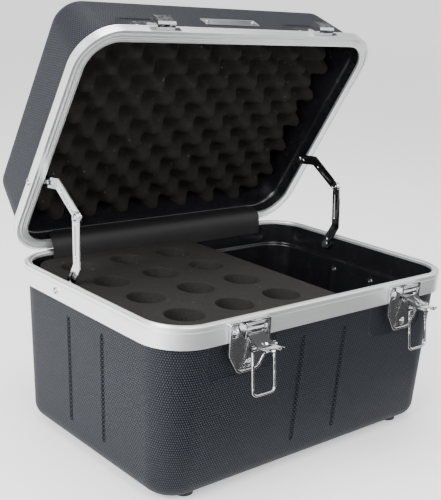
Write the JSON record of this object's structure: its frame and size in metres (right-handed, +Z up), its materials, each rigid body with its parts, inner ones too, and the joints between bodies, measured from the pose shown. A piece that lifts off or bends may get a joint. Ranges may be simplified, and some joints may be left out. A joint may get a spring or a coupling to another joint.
{
  "type": "moulded carry case",
  "caption": "Hard moulded carry case with a foam block of round upright pockets, an open compartment, foam-lined lid on stays, draw latches and a top handle.",
  "frame": {"origin": "on the surface that the case stands on, under the middle of the object's box as it stands with the lid open", "axes": "+Z up, +X to the right seen from the latches, +Y from the latches towards the hinge; the lid is 59.5 degrees open at rest"},
  "size_m": [0.4228, 0.3986, 0.466],
  "materials": {
    "moulded_shell": "textured moulded",
    "edge_aluminium": "satin anodised",
    "foam": "open cell, matte",
    "black_rubber": "matte",
    "bright_chrome": "polished plated",
    "zinc_steel": "plated",
    "cover_strip": "smooth flexible",
    "badge_metal": "brushed",
    "grip_vinyl": "ribbed vinyl"
  },
  "bodies": {
    "base": {"base_shell": "moulded_shell", "base_edge_frame": "edge_aluminium", "foam_block": "foam", "foam_floor_pad": "foam", "rubber_feet": "black_rubber", "foot_screws": "zinc_steel", "hinge_leaf_base": "zinc_steel", "hinge_leaf_base_rivets": "zinc_steel", "hinge_pin": "zinc_steel", "hinge_cover": "cover_strip", "base_frame_rivets": "bright_chrome", "latch_rivets": "bright_chrome", "stay_base_stud_left": "zinc_steel", "stay_base_stud_right": "zinc_steel", "latch_plate_left": "bright_chrome", "latch_plate_right": "bright_chrome", "lever_pin_left": "bright_chrome", "lever_pin_right": "bright_chrome"},
    "lid": {"lid_shell": "moulded_shell", "lid_edge_frame": "edge_aluminium", "lid_foam": "foam", "hinge_leaf_lid": "zinc_steel", "hinge_leaf_lid_rivets": "zinc_steel", "lid_frame_rivets": "bright_chrome", "keeper_rivets": "bright_chrome", "badge_plate": "badge_metal", "badge_rivets": "zinc_steel", "handle_brackets": "bright_chrome", "handle_rivets": "bright_chrome", "stay_lid_stud_left": "zinc_steel", "stay_lid_stud_right": "zinc_steel", "keeper_left": "bright_chrome", "keeper_right": "bright_chrome"},
    "handle": {"handle_bail": "bright_chrome", "handle_grip": "grip_vinyl"},
    "stay_lower_left": {"stay_lower_left": "bright_chrome", "stay_knee_rivet_left": "bright_chrome"},
    "stay_upper_left": {"stay_upper_left": "bright_chrome", "stay_end_rivet_left": "bright_chrome"},
    "lever_left": {"latch_lever_left": "bright_chrome"},
    "bail_pin_left": {"bail_pin_left": "bright_chrome"},
    "bail_left": {"latch_bail_left": "bright_chrome"},
    "stay_lower_right": {"stay_lower_right": "bright_chrome", "stay_knee_rivet_right": "bright_chrome"},
    "stay_upper_right": {"stay_upper_right": "bright_chrome", "stay_end_rivet_right": "bright_chrome"},
    "lever_right": {"latch_lever_right": "bright_chrome"},
    "bail_pin_right": {"bail_pin_right": "bright_chrome"},
    "bail_right": {"latch_bail_right": "bright_chrome"}
  },
  "joints": [
    {"name": "lid_hinge", "type": "hinge", "parent": "base", "child": "lid", "pos_m": [0, 0.138, 0.185], "axis": [1, 0, 0], "range_deg": [0, 59.5], "deforming": ["hinge_cover"]},
    {"name": "handle_swing", "type": "hinge", "parent": "lid", "child": "handle", "pos_m": [0, 0.13438, 0.38226], "axis": [1, 0, 0], "range_deg": [0, 95]},
    {"name": "stay_lower_pivot_left", "type": "hinge", "parent": "base", "child": "stay_lower_left", "pos_m": [-0.1946, 0.0347, 0.1743], "axis": [1, 0, 0], "range_deg": [-0.1, 55]},
    {"name": "stay_knee_left", "type": "hinge", "parent": "stay_lower_left", "child": "stay_upper_left", "pos_m": [-0.1934, 0.0234, 0.253], "axis": [1, 0, 0], "range_deg": [-88.7, 0.1]},
    {"name": "lever_swing_left", "type": "hinge", "parent": "base", "child": "lever_left", "pos_m": [-0.115, -0.1663, 0.1725], "axis": [1, 0, 0], "range_deg": [-34, 56.5]},
    {"name": "bail_pin_turn_left", "type": "hinge", "parent": "lever_left", "child": "bail_pin_left", "pos_m": [-0.115, -0.18079, 0.1644], "axis": [1, 0, 0], "range_deg": [-57, 34.5]},
    {"name": "bail_swing_left", "type": "hinge", "parent": "bail_pin_left", "child": "bail_left", "pos_m": [-0.115, -0.18079, 0.1644], "axis": [-1, 0, 0], "range_deg": [-8, 178]},
    {"name": "stay_lower_pivot_right", "type": "hinge", "parent": "base", "child": "stay_lower_right", "pos_m": [0.1946, 0.0347, 0.1743], "axis": [1, 0, 0], "range_deg": [-0.1, 55]},
    {"name": "stay_knee_right", "type": "hinge", "parent": "stay_lower_right", "child": "stay_upper_right", "pos_m": [0.1934, 0.0234, 0.253], "axis": [1, 0, 0], "range_deg": [-88.7, 0.1]},
    {"name": "lever_swing_right", "type": "hinge", "parent": "base", "child": "lever_right", "pos_m": [0.115, -0.1663, 0.1725], "axis": [1, 0, 0], "range_deg": [-34, 56.5]},
    {"name": "bail_pin_turn_right", "type": "hinge", "parent": "lever_right", "child": "bail_pin_right", "pos_m": [0.115, -0.18079, 0.1644], "axis": [1, 0, 0], "range_deg": [-57, 34.5]},
    {"name": "bail_swing_right", "type": "hinge", "parent": "bail_pin_right", "child": "bail_right", "pos_m": [0.115, -0.18079, 0.1644], "axis": [-1, 0, 0], "range_deg": [-8, 178]}
  ],
  "couplings": [
    {"joint": "stay_lower_pivot_left", "follows": "lid_hinge", "ratio": 0.92164},
    {"joint": "stay_knee_left", "follows": "lid_hinge", "ratio": -1.4885},
    {"joint": "bail_pin_turn_left", "follows": "lever_swing_left", "ratio": -1},
    {"joint": "stay_lower_pivot_right", "follows": "lid_hinge", "ratio": 0.92164},
    {"joint": "stay_knee_right", "follows": "lid_hinge", "ratio": -1.4885},
    {"joint": "bail_pin_turn_right", "follows": "lever_swing_right", "ratio": -1}
  ]
}
